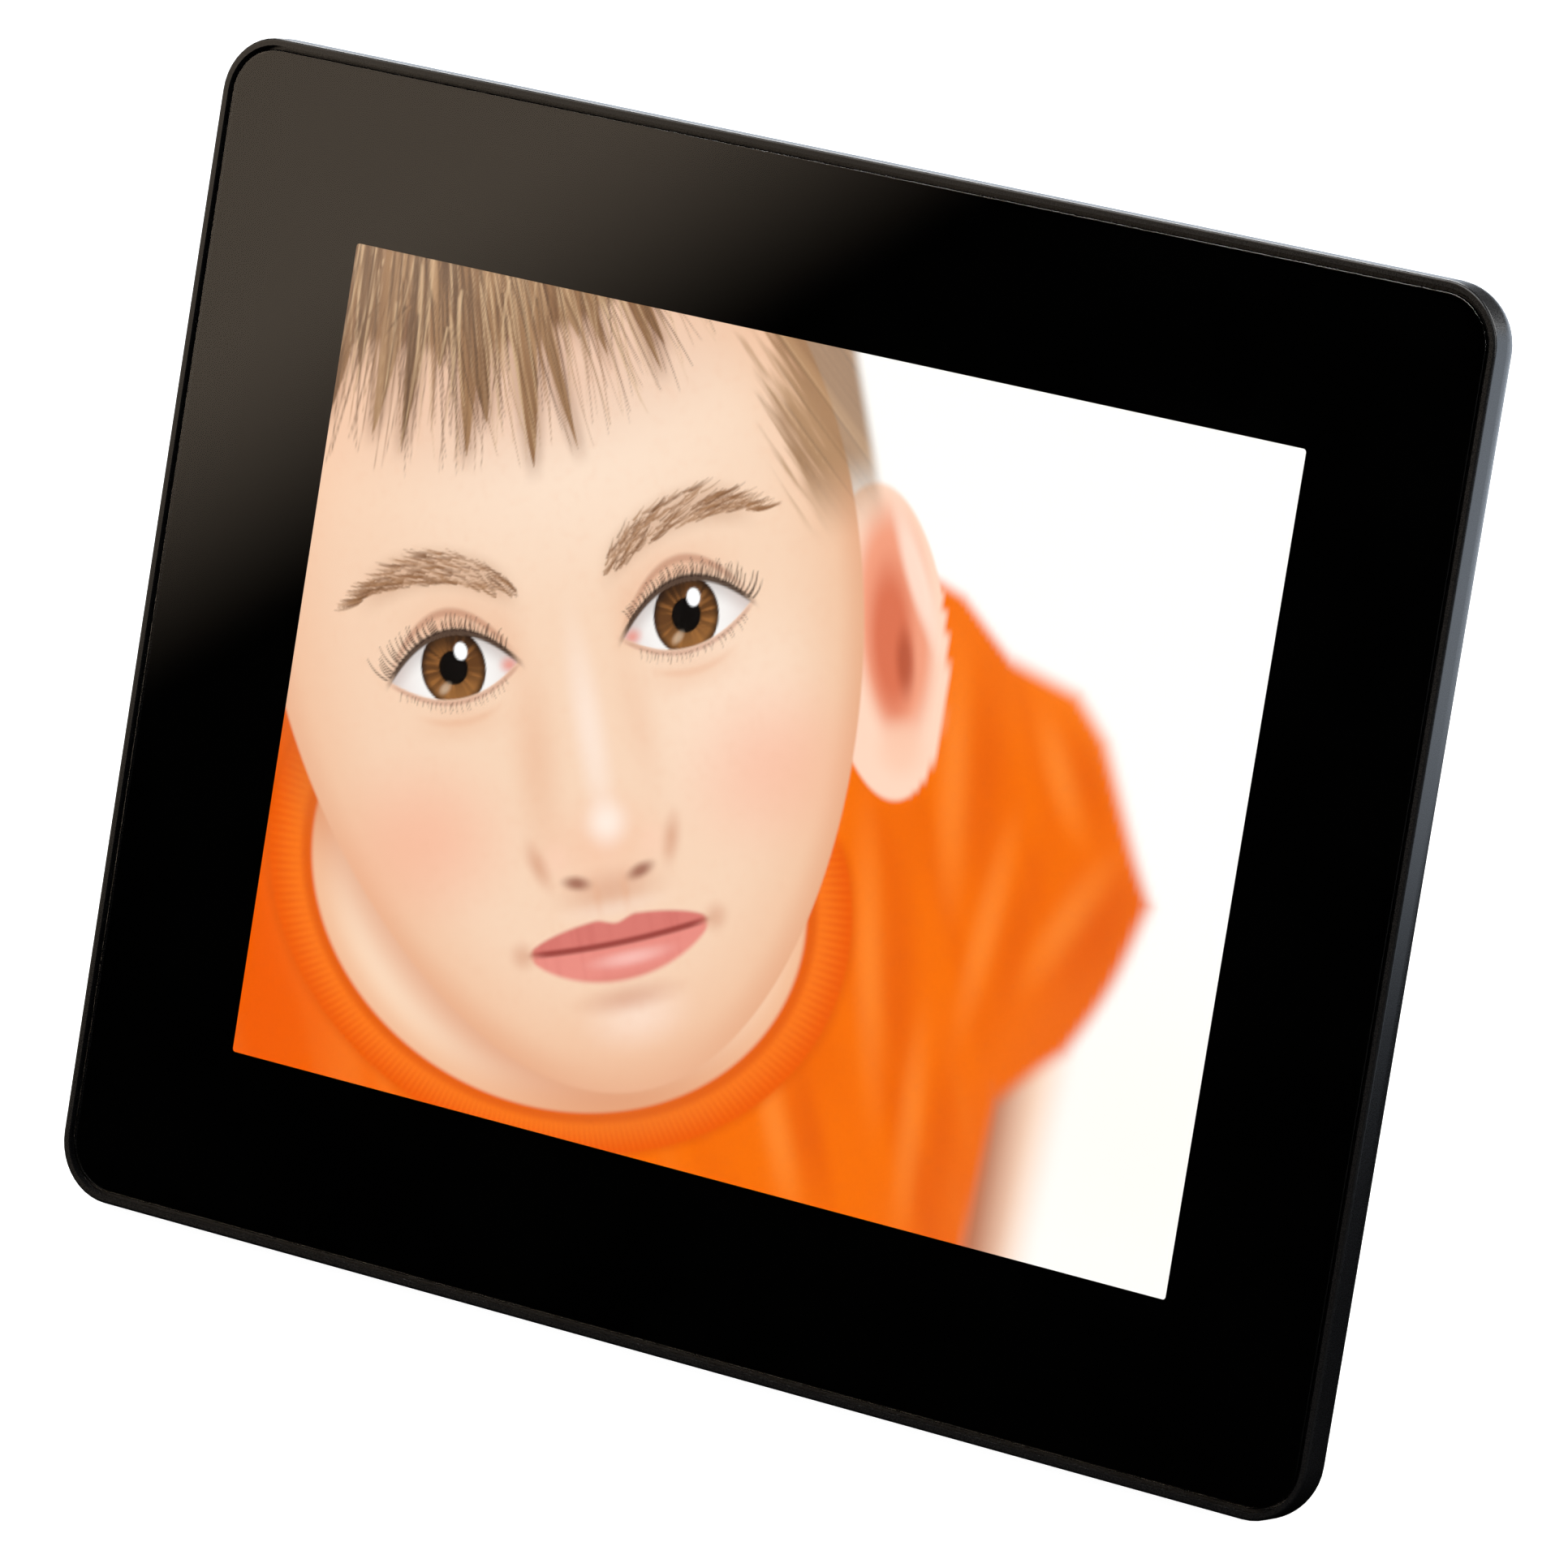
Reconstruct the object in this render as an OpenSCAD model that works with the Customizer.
// Digital photo frame for a desk or a wall: a gloss front panel in a slim rim, an LCD module with its
// backlight, a main board with sockets and buttons, and a rear cover with a fold-out leg.
// Everything is drawn upright first: X to the right, Y from front to back with the rim's face at 0,
// Z up from the bottom edge. placed() then leans it back and stands it on its feet.

/* [Picture] */
// Width of the LCD's lit area
active_w = 162; // [150:1:170]
// Height of the LCD's lit area
active_h = 121.5; // [114:0.5:128]
// How far the black print covers the edge of the lit area, each side
print_overlap = 0.5; // [0.2:0.1:1]
// Black border between the window and the outer edge
border = 27; // [24:0.5:32]

/* [Body] */
// Radius of the outer corners
corner_r = 9; // [8:0.5:11]
// Depth of the body at its edge
edge_depth = 9.3; // [9:0.1:10]
// Radius of the rounded back edge
edge_round = 6; // [5:0.25:6.5]
// Whole depth at the raised middle of the back
body_depth = 20; // [20:0.5:24]
// Wall thickness of the plastic parts
wall = 2; // [1.6:0.1:2.2]
// Depth from the front at which the rim meets the rear cover
seam_y = 5.6; // [5:0.1:5.8]
// Width of the dark gap where the rim meets the rear cover
seam_gap = 0.2; // [0.1:0.1:0.3]
// Width of the rim's front face
rim_w = 1.05; // [0.9:0.05:1.3]
// Gap between the rim and the front panel
panel_gap = 0.6; // [0.4:0.05:0.8]
// Depth of the panel's face below the rim's face
panel_sink = 0.2; // [0.1:0.05:0.4]
// Thickness of the clear front panel
panel_t = 1.2; // [1:0.1:1.5]

/* [Stand] */
// Backward lean of the body on its stand, in degrees
lean = 16.5; // [14:0.5:19]
// Angle between the open leg and the back, in degrees
open_angle = 36; // [32:1:40]
// Height of the leg's hinge above the bottom edge
hinge_z = 88; // [86:1:90]
// Width of the leg at its hinge
leg_w = 33.6; // [30:0.2:33.6]
// Width of the leg at its foot
leg_foot_w = 26; // [20:1:28]
// Thickness of the leg
leg_t = 6; // [5:0.5:6]

/* [Controls] */
// Radius of a button's cap
button_r = 4.5; // [4:0.25:5]
// Distance between neighbouring buttons
button_pitch = 16; // [14:0.5:18]
// Travel of a button
button_travel = 0.4; // [0.2:0.05:0.45]
// Travel of the power slider
slider_travel = 2.5; // [2:0.1:2.8]

/* [Hidden] */
$fn = 64;

// Outline sizes
window_w = active_w - 2 * print_overlap;
window_h = active_h - 2 * print_overlap;
body_w = window_w + 2 * border;
body_h = window_h + 2 * border;
mid_z = body_h / 2;
rim_edge = 0.4;                                  // small round on the rim's front edge
panel_in = rim_w + panel_gap;                    // from the outer edge to the front panel

// Depths of the layers, front to back
print_t = 0.1;
tape_t = 0.3;
print_y = panel_sink + panel_t;
tape_y = print_y + print_t;
ledge_y = tape_y + tape_t;
ledge_t = 1.5;
ledge_back = ledge_y + ledge_t;
steel = 0.3;                                     // sheet of the LCD's frame and tray
lcd_y = ledge_y;
polarizer_y = lcd_y + 0.4;
polarizer_t = 0.2;
cell_y = polarizer_y + polarizer_t;
cell_t = 1;
shelf_y = cell_y + cell_t + polarizer_t + 0.05;
shelf_t = 0.65;
diffuser_y = shelf_y + shelf_t + 0.05;
guide_y = diffuser_y + 0.35;
guide_t = 1.6;
reflector_y = guide_y + guide_t + 0.05;
tray_y = reflector_y + 0.5;
lcd_back = tray_y + steel;

// LCD module outline, wider than its lit area by its own margins
lcd_w = active_w + 21;
lcd_h = active_h + 19.5;
cell_w = lcd_w - 11;
cell_h = lcd_h - 9.5;
sheet_w = lcd_w - 9.6;
sheet_h = lcd_h - 8.6;

// Raised middle of the back
hump_w = lcd_w + 13;
hump_h = lcd_h + 5;
hump_r = 12;
hump_round = 4;
hump_top = mid_z + hump_h / 2;
inner_back = body_depth - wall;

// Main board, parallel to the front, parts facing the back
board_t = 1.2;
board_y = 10.2;
board_back = board_y + board_t;
board_right = hump_w / 2 - wall - 1.4;
board_left = -52;
board_low = hinge_z + 12;
board_high = hump_top - wall - 1.75;
power_x = 42;                                    // the power parts' column
post_r = 2.6;
post_places = [[-46, board_low + 5], [-46, board_high - 5], [58, board_low + 5], [58, board_high - 5]];

// Screws: shank radius and head radius
small_shank = 1;
small_head = 1.9;
shank = 1.25;
head = 2.4;
hole_play = 0.02;                                // a hole that a thread bites in
cover_screw_x = [-88, 0, 88];
cover_screw_in = 10;                             // from the top and bottom edges
cover_web_y = 5.9;
cover_head_y = 7.4;
clip_z = [mid_z - 37, mid_z + 37];
clip_h = 14;
clip_t = 0.8;
clip_lip = 6;                                    // how far a clip reaches over the LCD's back
clip_screw_x = lcd_w / 2 + 7;

// Stand
hinge_y = 16.4;
pin_r = 1.5;
pin_play = 0.05;
leg_floor_y = hinge_y - leg_t / 2 - 0.5;         // floor of the leg's recess
recess_half = leg_w / 2 + 0.8;
recess_top = hinge_z + 8;
ear_half = recess_half + 7;
floor_drop = 2;                                  // from the body's corner down to the desk
leg_reach = (hinge_z * cos(lean) - hinge_y * sin(lean) + floor_drop) / cos(open_angle - lean);
leg_len = leg_reach - 5;
stand_depth = hinge_y * cos(lean) + hinge_z * sin(lean) + leg_reach * sin(open_angle - lean)
    + leg_t / 2 / cos(open_angle - lean);
foot_x = 80;
foot_w = 24;

// Buttons, in a row above the hinge, and the slider on top of the raised back
button_z = board_high - 11;
button_x = [for (i = [-2:2]) -8 + i * button_pitch];
switch_h = 4.3;
slider_x = 40;
slider_y = 14;

// Sockets on the right edge of the board
socket_x = hump_w / 2 - wall - 0.7;
card_z = board_high - 18.5;
card_w = 27;
card_t = 3;
usb_z = board_low + 19;
usb_w = 7.7;
usb_t = 3.9;
jack_z = board_low + 10;
jack_w = 9;
jack_t = 6;
jack_hole_r = 2.75;
jack_pin_r = 0.85;

// Keyholes for hanging on two screws
keyhole_x = 70;
keyhole_z = hinge_z + 30;
keyhole_r = 3.5;
keyhole_slot_r = 1.7;
keyhole_rise = 8;

// ---- placing ----

module placed() {
    translate([0, -stand_depth / 2, floor_drop]) rotate([-lean, 0, 0]) children();
}

// Everything above the desk, in the upright drawing
module above_desk() {
    rotate([lean, 0, 0]) translate([-200, -200, -floor_drop]) cube([400, 500, 400]);
}

module both_sides() {
    children();
    mirror([1, 0, 0]) children();
}

// ---- shapes ----

module rounded_rect(w, h, r) {
    square([w - 2 * r, h], center = true);
    square([w, h - 2 * r], center = true);
    for (x = [-1, 1], y = [-1, 1]) translate([x * (w / 2 - r), y * (h / 2 - r)]) circle(r);
}

// A plate standing in the XZ plane, from y0 to y1, centred on the picture
module plate(w, h, r, y0, y1) {
    translate([0, y1, mid_z]) rotate([90, 0, 0]) linear_extrude(y1 - y0) rounded_rect(w, h, r);
}

// A flat ring: an outer plate less an inner one
module ring(w, h, r, inner_w, inner_h, inner_r, y0, y1) {
    translate([0, y1, mid_z]) rotate([90, 0, 0]) linear_extrude(y1 - y0) difference() {
        rounded_rect(w, h, r);
        rounded_rect(inner_w, inner_h, inner_r);
    }
}

// What a round of radius e takes off a corner, its centre at the origin
module corner_cut(e) {
    difference() {
        square(e + 0.1);
        circle(e);
    }
}

// Cross-section of a plate's edge: radius outwards, depth up, with a front and a back round
module edge_profile(r, y0, y1, front_e, back_e) {
    difference() {
        translate([0, y0]) square([r, y1 - y0]);
        if (front_e > 0) translate([r - front_e, y0 + front_e]) mirror([0, 1]) corner_cut(front_e);
        if (back_e > 0) translate([r - back_e, y1 - back_e]) corner_cut(back_e);
    }
}

// A rounded plate whose front and back edges are rounded all the way round
module soft_plate(w, h, r, y0, y1, front_e, back_e) {
    translate([0, 0, mid_z]) {
        translate([r - w / 2, y0, r - h / 2]) cube([w - 2 * r, y1 - y0, h - 2 * r]);
        for (side = [0:3]) {
            across = side % 2 == 0 ? w : h;
            along = side % 2 == 0 ? h : w;
            rotate([0, 90 * side, 0]) {
                translate([across / 2 - r, 0, r - along / 2]) linear_extrude(along - 2 * r)
                    edge_profile(r, y0, y1, front_e, back_e);
                translate([across / 2 - r, 0, along / 2 - r]) rotate([-90, 0, 0])
                    rotate_extrude(angle = -90) edge_profile(r, y0, y1, front_e, back_e);
            }
        }
    }
}

// A cylinder along Y at a place on the back, from y0 to y1
module rod_y(x, z, r, y0, y1) {
    translate([x, y0, z]) rotate([-90, 0, 0]) cylinder(h = y1 - y0, r = r);
}

// A cylinder along X
module rod_x(y, z, r, x0, x1) {
    translate([x0, y, z]) rotate([0, 90, 0]) cylinder(h = x1 - x0, r = r);
}

// A box given by its lowest and highest corners
module block(low, high) {
    translate(low) cube(high - low);
}

// A screw whose head is towards the back, seated at seat_y, its tip at tip_y
module screw(x, z, shank_r, head_r, head_t, seat_y, tip_y) {
    rod_y(x, z, shank_r, tip_y, seat_y);
    difference() {
        rod_y(x, z, head_r, seat_y, seat_y + head_t);
        for (turn = [0, 90]) translate([x, seat_y + head_t, z]) rotate([0, turn, 0])
            cube([head_r * 1.1, head_t, 0.5], center = true);
    }
}

// The outside of the body's edge, from the rim's face to the flat of the back
module body_edge() {
    soft_plate(body_w, body_h, corner_r, 0, edge_depth, rim_edge, edge_round);
}

module cover_screw_places() {
    for (x = cover_screw_x, z = [cover_screw_in, body_h - cover_screw_in])
        translate([x, 0, z]) children();
}

// ---- front ----

module front_bezel() {
    pocket_in = 2 * rim_w;
    placed() color([0.14, 0.145, 0.15]) difference() {
        union() {
            difference() {
                body_edge();
                plate(body_w + 2, body_h + 2, corner_r, seam_y, edge_depth + 1);
                plate(body_w - pocket_in, body_h - pocket_in, corner_r - rim_w, -1, ledge_y);
                plate(lcd_w + 3, lcd_h + 3, 2, 0, body_depth);
                plate(body_w - 2 * wall, body_h - 2 * wall, corner_r - wall, ledge_back, body_depth);
            }
            cover_screw_places() rod_y(0, 0, 2.8, ledge_back - 0.2, cover_web_y - 0.1);
        }
        cover_screw_places() rod_y(0, 0, shank + hole_play, ledge_y + 0.4, cover_web_y);
        both_sides() for (z = clip_z)
            rod_y(clip_screw_x, z, small_shank + hole_play, ledge_y + 0.2, ledge_back + 1);
    }
}

module front_panel() {
    placed() color([0.05, 0.05, 0.055, 0.5])
        soft_plate(body_w - 2 * panel_in, body_h - 2 * panel_in, corner_r - panel_in,
            panel_sink, print_y, 0.25, 0);
}

module black_print() {
    placed() color([0.01, 0.01, 0.01])
        ring(body_w - 2 * panel_in - 0.4, body_h - 2 * panel_in - 0.4, corner_r - panel_in - 0.2,
            window_w, window_h, 0.5, print_y, tape_y);
}

module panel_tape() {
    placed() color([0.2, 0.2, 0.2])
        ring(body_w - 2 * panel_in - 2, body_h - 2 * panel_in - 2, corner_r - panel_in - 1,
            lcd_w + 12, lcd_h + 12, 3, tape_y, ledge_y);
}

module window_gasket() {
    placed() color([0.08, 0.08, 0.08])
        ring(lcd_w - 2, lcd_h - 2, 1, active_w + 3, active_h + 3, 1, tape_y, ledge_y);
}

// ---- LCD module ----

module lcd_front_frame() {
    placed() color([0.7, 0.71, 0.72]) {
        ring(lcd_w, lcd_h, 1, active_w + 4, active_h + 3.5, 0.5, lcd_y, lcd_y + steel);
        ring(lcd_w, lcd_h, 1, lcd_w - 2 * steel, lcd_h - 2 * steel, 0.7, lcd_y, lcd_back);
    }
}

module front_polarizer() {
    placed() color([0.9, 0.9, 0.88])
        plate(cell_w - 4, cell_h - 4, 0.5, polarizer_y, cell_y);
}

module lcd_cell() {
    placed() color([0.6, 0.65, 0.62]) plate(cell_w, cell_h, 0.3, cell_y, cell_y + cell_t);
}

module rear_polarizer() {
    placed() color([0.4, 0.42, 0.4])
        plate(cell_w - 4, cell_h - 4, 0.5, cell_y + cell_t, cell_y + cell_t + polarizer_t);
}

module lcd_mould_frame() {
    outer_w = lcd_w - 2 * steel - 0.2;
    outer_h = lcd_h - 2 * steel - 0.2;
    placed() color([0.93, 0.93, 0.9]) {
        ring(outer_w, outer_h, 0.6, cell_w + 0.6, cell_h + 0.6, 0.5, polarizer_y, shelf_y + 0.01);
        ring(outer_w, outer_h, 0.6, cell_w - 3.5, cell_h - 3.5, 0.5, shelf_y, shelf_y + shelf_t);
        ring(outer_w, outer_h, 0.6, sheet_w + 0.6, sheet_h + 0.6, 0.5,
            shelf_y + shelf_t - 0.01, tray_y - 0.05);
    }
}

module diffuser_sheet() {
    placed() color([0.96, 0.96, 0.96]) plate(sheet_w, sheet_h, 0.3, diffuser_y, diffuser_y + 0.3);
}

module light_guide() {
    placed() color([0.85, 0.92, 0.95]) translate([0, 0, 2])
        plate(sheet_w, sheet_h - 4, 0.3, guide_y, guide_y + guide_t);
}

module led_strip() {
    strip_z = mid_z - sheet_h / 2 + 0.2;
    placed() color([0.9, 0.88, 0.75]) {
        block([-sheet_w / 2 + 2, guide_y, strip_z], [sheet_w / 2 - 2, guide_y + guide_t, strip_z + 0.8]);
        for (i = [-13:13]) translate([i * 6.1, guide_y + 0.2, strip_z + 0.7])
            translate([-1.8, 0, 0]) cube([3.6, 1.2, 1.1]);
    }
}

module reflector_sheet() {
    placed() color([0.97, 0.97, 0.97]) plate(sheet_w, sheet_h, 0.3, reflector_y, reflector_y + 0.2);
}

module lcd_back_tray() {
    placed() color([0.72, 0.73, 0.74]) difference() {
        plate(lcd_w - 2 * steel - 0.2, lcd_h - 2 * steel - 0.2, 0.6, tray_y, lcd_back);
        for (x = [-60, 60], z = [mid_z - 20, mid_z + 20]) rod_y(x, z, 3, tray_y - 1, lcd_back + 1);
    }
}

module lcd_driver_board() {
    low = mid_z - lcd_h / 2 + 3;
    placed() color([0.1, 0.35, 0.15]) {
        block([-75, lcd_back + 0.05, low], [75, lcd_back + 0.85, low + 14]);
        for (x = [-45, 0, 45]) block([x - 9, lcd_back + 0.8, low + 5], [x + 9, lcd_back + 1.7, low + 8]);
        block([-14, lcd_back + 0.8, low + 9.5], [14, lcd_back + 1.8, low + 13.5]);
    }
}

// Flat ribbon from the driver board up the LCD's back to the main board's front face
module lcd_ribbon() {
    low = mid_z - lcd_h / 2 + 16.6;
    high = board_low + 6;
    y = lcd_back + 0.3;
    low_y = y + 0.6;
    high_y = board_y - 1.15;
    t = 0.3;
    route = [[low_y, low], [low_y, low + 1], [y, low + 4],
        [y, high - 11], [high_y, high - 6], [high_y, high]];
    placed() color([0.85, 0.6, 0.25]) translate([-12, 0, 0]) rotate([90, 0, 90]) linear_extrude(24)
        polygon([for (p = route) p, for (i = [len(route) - 1:-1:0]) route[i] + [t, 0]]);
}

// Narrow flex that feeds the light strip, round the LCD's lower edge and up its back
module backlight_flex() {
    low = mid_z - lcd_h / 2 + 22;
    high = board_low + 5;
    y = lcd_back + 0.05;
    placed() color([0.8, 0.5, 0.2]) block([30, y, low], [36, y + 0.25, high]);
}

module insulation_sheet() {
    right = lcd_w / 2 - clip_lip - 1;
    placed() color([0.15, 0.15, 0.16])
        block([board_left, lcd_back + 0.05, board_low + 8], [right, lcd_back + 0.25, board_high]);
}

// Steel clip: a lip over the LCD's back edge and a foot on the bezel's ledge
module lcd_clip(side, z) {
    inner = lcd_w / 2 + 0.4;
    lip_y = lcd_back + 0.05;
    placed() color([0.75, 0.76, 0.77]) mirror([side < 0 ? 1 : 0, 0, 0]) translate([0, 0, z - clip_h / 2])
        difference() {
            union() {
                block([inner - clip_lip, lip_y, 0], [inner + clip_t, lip_y + clip_t, clip_h]);
                block([inner, ledge_back, 0], [inner + clip_t, lip_y + clip_t, clip_h]);
                block([inner, ledge_back, 0], [clip_screw_x + 4, ledge_back + clip_t, clip_h]);
            }
            rod_y(clip_screw_x, clip_h / 2, small_shank + 0.2, ledge_back - 1, ledge_back + 2);
        }
}

module lcd_clip_right_top() { lcd_clip(1, clip_z[1]); }
module lcd_clip_right_bottom() { lcd_clip(1, clip_z[0]); }
module lcd_clip_left_top() { lcd_clip(-1, clip_z[1]); }
module lcd_clip_left_bottom() { lcd_clip(-1, clip_z[0]); }

module clip_screws() {
    seat = ledge_back + clip_t;
    placed() color([0.8, 0.8, 0.78]) both_sides() for (z = clip_z)
        screw(clip_screw_x, z, small_shank, small_head, 1.2, seat, ledge_y + 0.4);
}

// ---- main board ----

// The board's outer corner follows the inside of the raised back
module main_board() {
    placed() color([0.07, 0.3, 0.14]) difference() {
        intersection() {
            block([board_left, board_y, board_low], [board_right, board_back, board_high]);
            hump(-wall - 0.4, 0);
        }
        for (p = post_places) rod_y(p[0], p[1], shank + 0.15, board_y - 1, board_back + 1);
    }
}

// A part soldered to the board's back face: centre x, centre z, width, height, thickness
module on_board(x, z, w, h, t) {
    block([x - w / 2, board_back + 0.05, z - h / 2], [x + w / 2, board_back + 0.05 + t, z + h / 2]);
}

// Screws that hold the board to the cover's posts, heads towards the LCD
module board_screws() {
    placed() color([0.8, 0.8, 0.78]) for (p = post_places) {
        rod_y(p[0], p[1], shank, board_y - 0.1, inner_back - 2);
        difference() {
            rod_y(p[0], p[1], head, board_y - 1.3, board_y);
            for (turn = [0, 90]) translate([p[0], board_y - 1.3, p[1]]) rotate([0, turn, 0])
                cube([head * 1.1, 1.2, 0.5], center = true);
        }
    }
}

module processor_chip() {
    x = 20;
    z = board_low + 19;
    side = 20;
    pitch = 0.8;
    placed() color([0.09, 0.09, 0.1]) {
        on_board(x, z, side, side, 1.4);
        for (turn = [0:90:270], i = [-10:10]) translate([x, board_back + 0.05, z])
            rotate([0, turn, 0]) translate([side / 2 - 0.1, 0.2, i * pitch - 0.15]) cube([1.4, 0.3, 0.3]);
    }
}

module memory_chips() {
    x = -14;
    pitch = 0.8;
    placed() color([0.1, 0.1, 0.11]) for (z = [board_low + 12, board_low + 27]) {
        on_board(x, z, 22, 10, 1.1);
        for (i = [-12:12]) translate([x + i * pitch - 0.15, board_back + 0.1, z - 6]) cube([0.3, 0.3, 12]);
    }
}

module flash_chip() {
    x = -38;
    z = board_low + 20;
    pitch = 0.45;
    placed() color([0.1, 0.1, 0.11]) {
        on_board(x, z, 12, 18.4, 1.1);
        for (i = [-12:12])
            translate([x + i * pitch - 0.1, board_back + 0.1, z - 10.2]) cube([0.2, 0.3, 20.4]);
    }
}

module power_inductor() {
    placed() color([0.25, 0.25, 0.27]) on_board(power_x, board_low + 20, 8, 8, 4);
}

module power_capacitors() {
    placed() color([0.75, 0.76, 0.78]) for (z = [board_low + 5, board_low + 31]) {
        rod_y(power_x, z, 3.15, board_back + 0.5, board_back + 5.4);
        on_board(power_x, z, 6.6, 6.6, 0.6);
    }
}

module clock_crystal() {
    placed() color([0.8, 0.8, 0.8]) on_board(2, board_low + 36, 6.5, 4.7, 3.3);
}

module ribbon_connector() {
    placed() color([0.93, 0.9, 0.82]) difference() {
        block([-14, board_y - 1.7, board_low + 1], [14, board_y - 0.05, board_low + 9]);
        block([-12.3, board_y - 1.3, board_low], [12.3, board_y - 0.6, board_low + 6.3]);
    }
}

module card_socket() {
    depth = 29;
    low = [socket_x - depth, board_back + 0.05, card_z - card_w / 2];
    placed() color([0.78, 0.79, 0.8]) difference() {
        block(low, [socket_x, board_back + 0.05 + card_t, card_z + card_w / 2]);
        block(low + [2.5, 0.4, 1.3], [socket_x + 1, board_back + 2.65, card_z + card_w / 2 - 1.3]);
    }
}

module usb_socket() {
    depth = 9;
    y = board_back + 0.05;
    placed() color([0.8, 0.81, 0.82]) {
        difference() {
            block([socket_x - depth, y, usb_z - usb_w / 2], [socket_x, y + usb_t, usb_z + usb_w / 2]);
            block([socket_x - depth + 1.5, y + 0.35, usb_z - usb_w / 2 + 0.35],
                [socket_x + 1, y + usb_t - 0.35, usb_z + usb_w / 2 - 0.35]);
        }
        block([socket_x - depth + 1, y + 1.5, usb_z - 2.6], [socket_x - 1.2, y + 2.3, usb_z + 2.6]);
    }
}

module dc_jack() {
    depth = 12;
    y = board_back + 0.05;
    jack_y = y + jack_t / 2;
    placed() color([0.1, 0.1, 0.1]) {
        difference() {
            block([socket_x - depth, y, jack_z - jack_w / 2], [socket_x, y + jack_t, jack_z + jack_w / 2]);
            rod_x(jack_y, jack_z, jack_hole_r, socket_x - depth + 2, socket_x + 1);
        }
        rod_x(jack_y, jack_z, jack_pin_r, socket_x - depth + 1, socket_x - 1);
    }
}

module button_switches() {
    placed() color([0.15, 0.15, 0.16]) for (x = button_x) {
        on_board(x, button_z, 6, 6, switch_h - 0.9);
        rod_y(x, button_z, 1.7, board_back + 0.5, board_back + switch_h);
    }
}

module slide_switch() {
    half = 4.3;
    placed() color([0.75, 0.76, 0.77])
        block([slider_x - half, board_back + 0.05, board_high - 6.5],
            [slider_x + half, board_back + 4, board_high - 0.3]);
}

// ---- controls ----

module button(place) {
    x = button_x[place];
    stem_end = board_back + switch_h + button_travel + 0.2;
    placed() color([0.12, 0.12, 0.125]) {
        translate([x, 0, button_z - mid_z])
            soft_plate(2 * button_r, 2 * button_r, button_r - 0.01,
                inner_back - 0.5, body_depth + 0.6, 0, 0.6);
        rod_y(x, button_z, button_r + 1.2, inner_back - 1.2, inner_back - 0.3);
        rod_y(x, button_z, 1.5, stem_end, inner_back - 1);
    }
}

module button_power() { button(0); }
module button_menu() { button(1); }
module button_back() { button(2); }
module button_next() { button(3); }
module button_enter() { button(4); }

module power_slider() {
    x = slider_x - slider_travel / 2;
    low = hump_top - wall - 1.1;
    placed() color([0.16, 0.16, 0.165]) {
        block([x - 6, slider_y - 2.4, low], [x + 6, slider_y + 2.4, low + 0.8]);
        block([x - 2.2, slider_y - 1.3, low], [x + 2.2, slider_y + 1.3, hump_top + 1]);
        for (i = [-1:1]) block([x + i * 1.5 - 0.25, slider_y - 1.3, hump_top + 0.9],
            [x + i * 1.5 + 0.25, slider_y + 1.3, hump_top + 1.3]);
    }
}

// ---- rear cover ----

// The raised middle of the back, grown by a margin, from y0 to its flat
module hump(grow, y0) {
    soft_plate(hump_w + 2 * grow, hump_h + 2 * grow, hump_r + grow, y0, body_depth + grow,
        0, hump_round + grow);
}

module cover_shell() {
    lip_out = wall + 0.15;
    difference() {
        union() {
            difference() {
                body_edge();
                plate(body_w + 2, body_h + 2, corner_r, -1, seam_y + seam_gap);
            }
            ring(body_w - 2 * lip_out, body_h - 2 * lip_out, corner_r - lip_out,
                body_w - 2 * lip_out - 2, body_h - 2 * lip_out - 2, corner_r - lip_out - 1,
                ledge_back + 0.4, edge_depth - 1.5);
            hump(0, seam_y + 1);
        }
        difference() {
            soft_plate(body_w - 2 * wall, body_h - 2 * wall, corner_r - wall, seam_y, edge_depth - wall,
                0, edge_round - wall);
            ring(body_w, body_h, corner_r, body_w - 2 * lip_out - 2, body_h - 2 * lip_out - 2,
                corner_r - lip_out - 1, seam_y - 1, edge_depth - wall);
        }
        hump(-wall, seam_y - 1);
    }
}

// Walls of the leg's recess, the hinge's ears, the board's posts and the screw seats
module cover_inside() {
    recess_y = leg_floor_y - 1.8;
    intersection() {
        hump(-0.5, seam_y);
        union() {
            block([-recess_half - wall, recess_y, 0], [recess_half + wall, body_depth, recess_top + wall]);
            block([-ear_half, recess_y, hinge_z - 5], [ear_half, inner_back + 0.5, hinge_z + 5]);
            for (p = post_places) rod_y(p[0], p[1], post_r, board_back, inner_back + 0.5);
        }
    }
    cover_screw_places() rod_y(0, 0, 4.2, cover_web_y, edge_depth - 1);
}

module vents() {
    both_sides() for (i = [0:6]) translate([36, 0, 36 + i * 6]) {
        block([0, inner_back - 1, -1.1], [34, body_depth + 1, 1.1]);
        for (x = [0, 34]) rod_y(x, 0, 1.1, inner_back - 1, body_depth + 1);
    }
}

module keyholes() {
    both_sides() {
        rod_y(keyhole_x, keyhole_z, keyhole_r, inner_back - 1, body_depth + 1);
        rod_y(keyhole_x, keyhole_z + keyhole_rise, keyhole_slot_r, inner_back - 1, body_depth + 1);
        block([keyhole_x - keyhole_slot_r, inner_back - 1, keyhole_z],
            [keyhole_x + keyhole_slot_r, body_depth + 1, keyhole_z + keyhole_rise]);
    }
}

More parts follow.
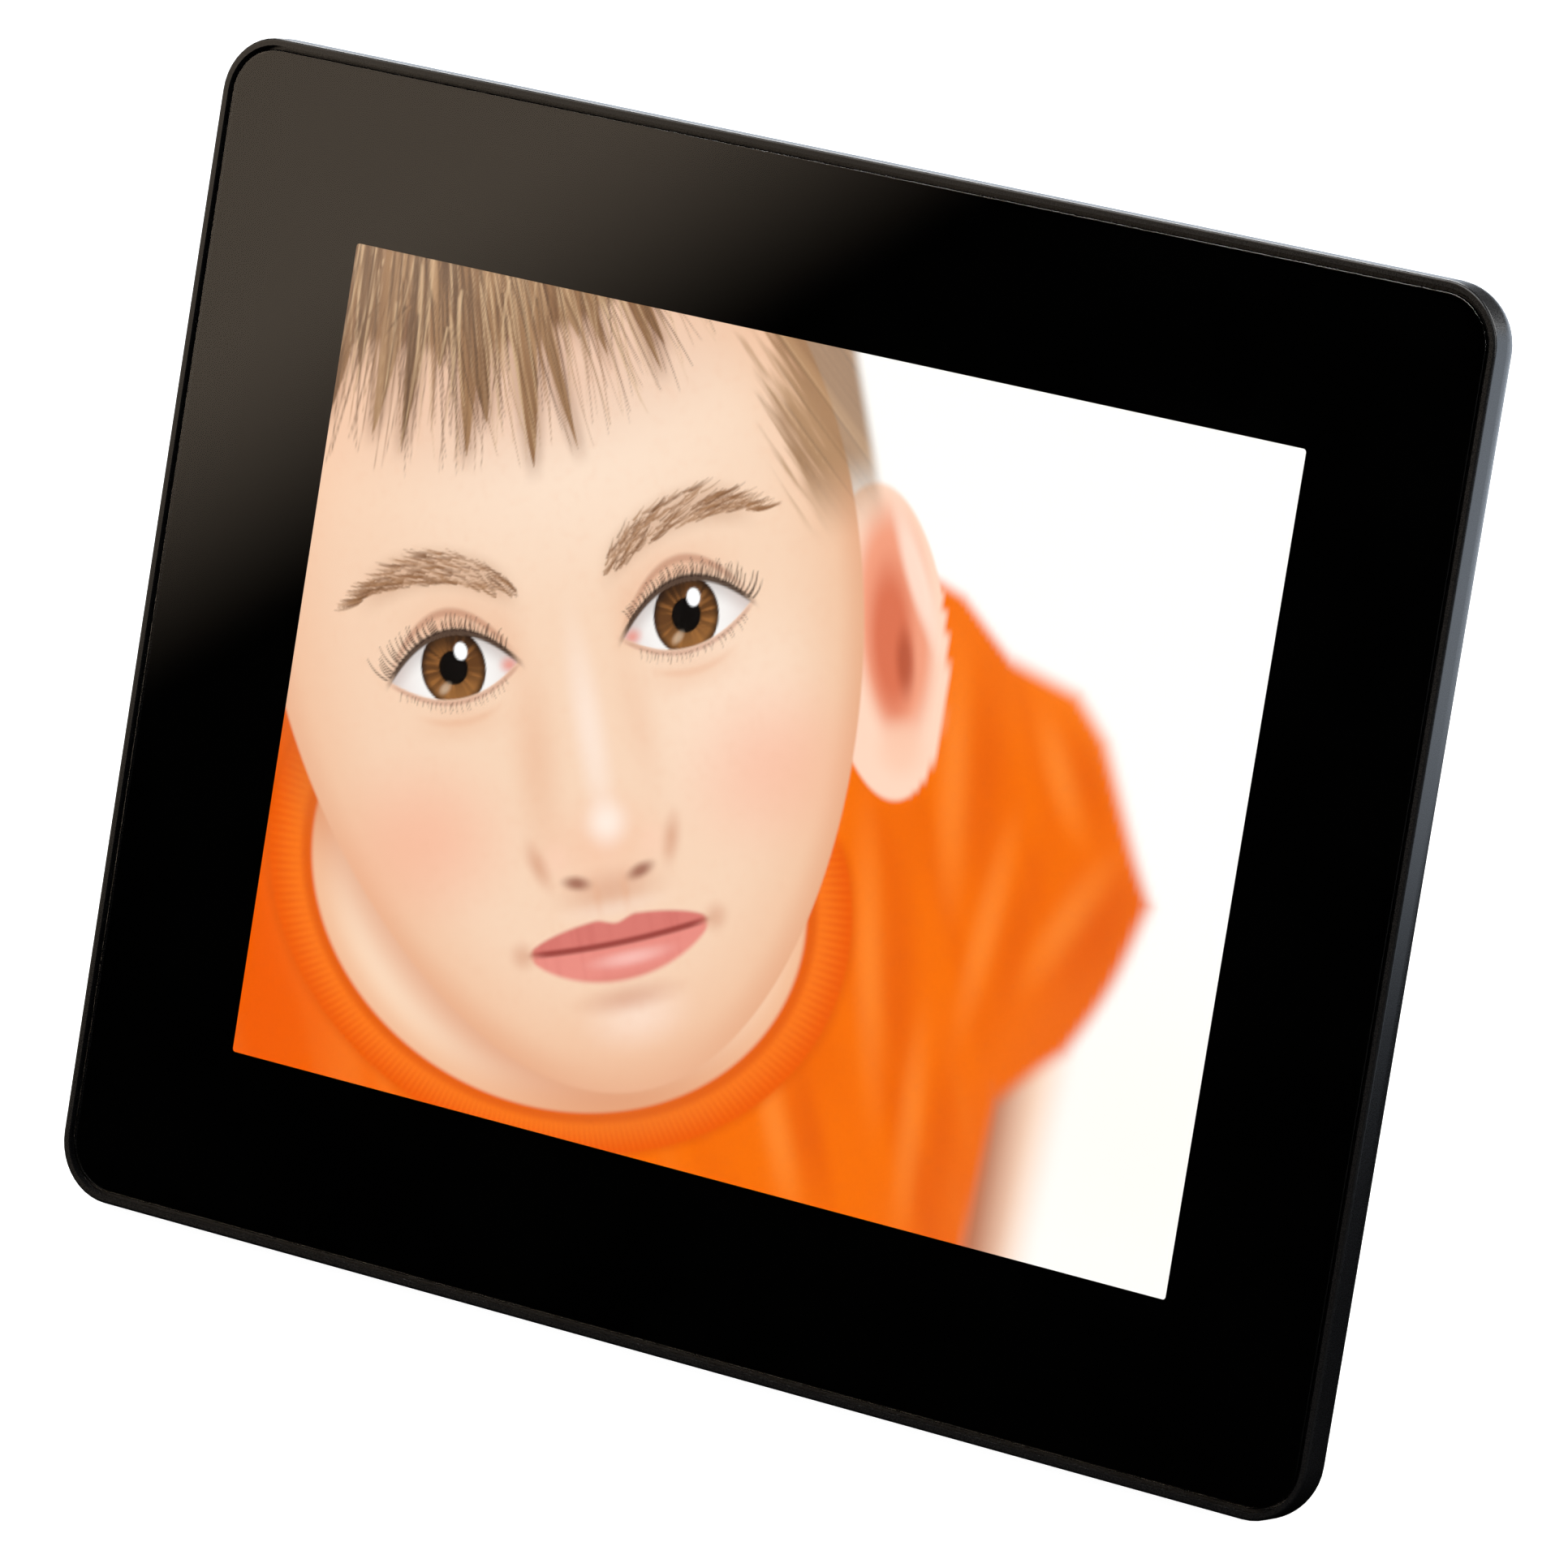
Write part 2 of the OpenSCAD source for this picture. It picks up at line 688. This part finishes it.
module socket_cutouts() {
    y = board_back + 0.05;
    x0 = hump_w / 2 - wall - 1;
    x1 = hump_w / 2 + 1;
    block([x0, y, card_z - card_w / 2 + 0.8], [x1, y + card_t, card_z + card_w / 2 - 0.8]);
    block([x0, y - 0.5, usb_z - usb_w / 2 - 0.8], [x1, y + usb_t + 0.5, usb_z + usb_w / 2 + 0.8]);
    rod_x(y + jack_t / 2, jack_z, jack_hole_r + 0.6, x0, x1);
}

module rear_cover() {
    placed() color([0.1, 0.1, 0.105]) difference() {
        union() {
            cover_shell();
            cover_inside();
        }
        block([-recess_half, leg_floor_y, -1], [recess_half, body_depth + 1, recess_top]);
        rod_x(hinge_y, hinge_z, pin_r + hole_play, -ear_half - 1, ear_half + 1);
        for (p = post_places) rod_y(p[0], p[1], shank + hole_play, board_back - 1, inner_back - 1.5);
        cover_screw_places() {
            rod_y(0, 0, shank + 0.2, cover_web_y - 1, edge_depth + 1);
            rod_y(0, 0, head + 0.3, cover_head_y, edge_depth + 1);
        }
        for (x = button_x) rod_y(x, button_z, button_r + 0.3, inner_back - 1, body_depth + 1);
        block([slider_x - 4, slider_y - 1.6, hump_top - wall - 1],
            [slider_x + 4, slider_y + 1.6, hump_top + 1]);
        vents();
        keyholes();
        socket_cutouts();
    }
}

module cover_screws() {
    placed() color([0.35, 0.35, 0.36]) cover_screw_places()
        screw(0, 0, shank, head, 1.5, cover_head_y, ledge_y + 0.6);
}

// ---- stand ----

module hinge_pin() {
    placed() color([0.8, 0.8, 0.8]) rod_x(hinge_y, hinge_z, pin_r, -ear_half + 1, ear_half - 1);
}

module hinge_washers() {
    placed() color([0.7, 0.7, 0.68]) both_sides() difference() {
        rod_x(hinge_y, hinge_z, 2.9, recess_half - 0.55, recess_half - 0.05);
        rod_x(hinge_y, hinge_z, pin_r + pin_play, 0, recess_half + 1);
    }
}

// Outline of the leg, pointing down from its hinge, drawn in by a margin
module leg_outline(margin) {
    low = -leg_len + margin;
    polygon([[-leg_w / 2 + margin, -margin], [leg_w / 2 - margin, -margin],
        [leg_foot_w / 2 - margin, low], [-leg_foot_w / 2 + margin, low]]);
}

// The leg folded, with its hinge at the origin; pockets face the body
module folded_leg() {
    pocket_h = (leg_len - 12) / 4;
    difference() {
        union() {
            translate([0, leg_t / 2, 0]) rotate([90, 0, 0]) linear_extrude(leg_t) leg_outline(0);
            rod_x(0, 0, leg_t / 2, -leg_w / 2, leg_w / 2);
        }
        intersection() {
            translate([0, leg_t / 2 - 2, 0]) rotate([90, 0, 0]) linear_extrude(leg_t) leg_outline(2);
            union() for (i = [0:3], x = [-19.2, 0.8])
                translate([x, -leg_t, -leg_len + 3 + i * (pocket_h + 1)]) cube([18.4, 2 * leg_t, pocket_h]);
        }
    }
}

module stand_leg() {
    placed() color([0.13, 0.13, 0.135]) translate([0, hinge_y, hinge_z]) difference() {
        union() {
            rotate([open_angle, 0, 0]) folded_leg();
            block([-14, -leg_t / 2 - 0.2, 0], [14, 0, 4.2]);
        }
        rod_x(0, 0, pin_r + pin_play, -leg_w, leg_w);
    }
}

module leg_foot() {
    placed() color([0.06, 0.06, 0.06]) intersection() {
        translate([0, hinge_y, hinge_z]) rotate([open_angle, 0, 0])
            block([-leg_foot_w / 2, -leg_t / 2, -leg_reach - 5], [leg_foot_w / 2, leg_t / 2, -leg_len]);
        above_desk();
    }
}

module body_foot(side) {
    placed() color([0.06, 0.06, 0.06]) intersection() {
        difference() {
            translate([side * foot_x, 0, 0])
                block([-foot_w / 2, seam_y + 0.5, -5], [foot_w / 2, edge_depth - 0.1, 4]);
            body_edge();
        }
        above_desk();
    }
}

module foot_left() { body_foot(-1); }
module foot_right() { body_foot(1); }

front_bezel();
front_panel();
black_print();
panel_tape();
window_gasket();
lcd_front_frame();
front_polarizer();
lcd_cell();
rear_polarizer();
lcd_mould_frame();
diffuser_sheet();
light_guide();
led_strip();
reflector_sheet();
lcd_back_tray();
lcd_driver_board();
lcd_ribbon();
backlight_flex();
insulation_sheet();
lcd_clip_right_top();
lcd_clip_right_bottom();
lcd_clip_left_top();
lcd_clip_left_bottom();
clip_screws();
main_board();
board_screws();
processor_chip();
memory_chips();
flash_chip();
power_inductor();
power_capacitors();
clock_crystal();
ribbon_connector();
card_socket();
usb_socket();
dc_jack();
button_switches();
slide_switch();
button_power();
button_menu();
button_back();
button_next();
button_enter();
power_slider();
rear_cover();
cover_screws();
hinge_pin();
hinge_washers();
stand_leg();
leg_foot();
foot_left();
foot_right();
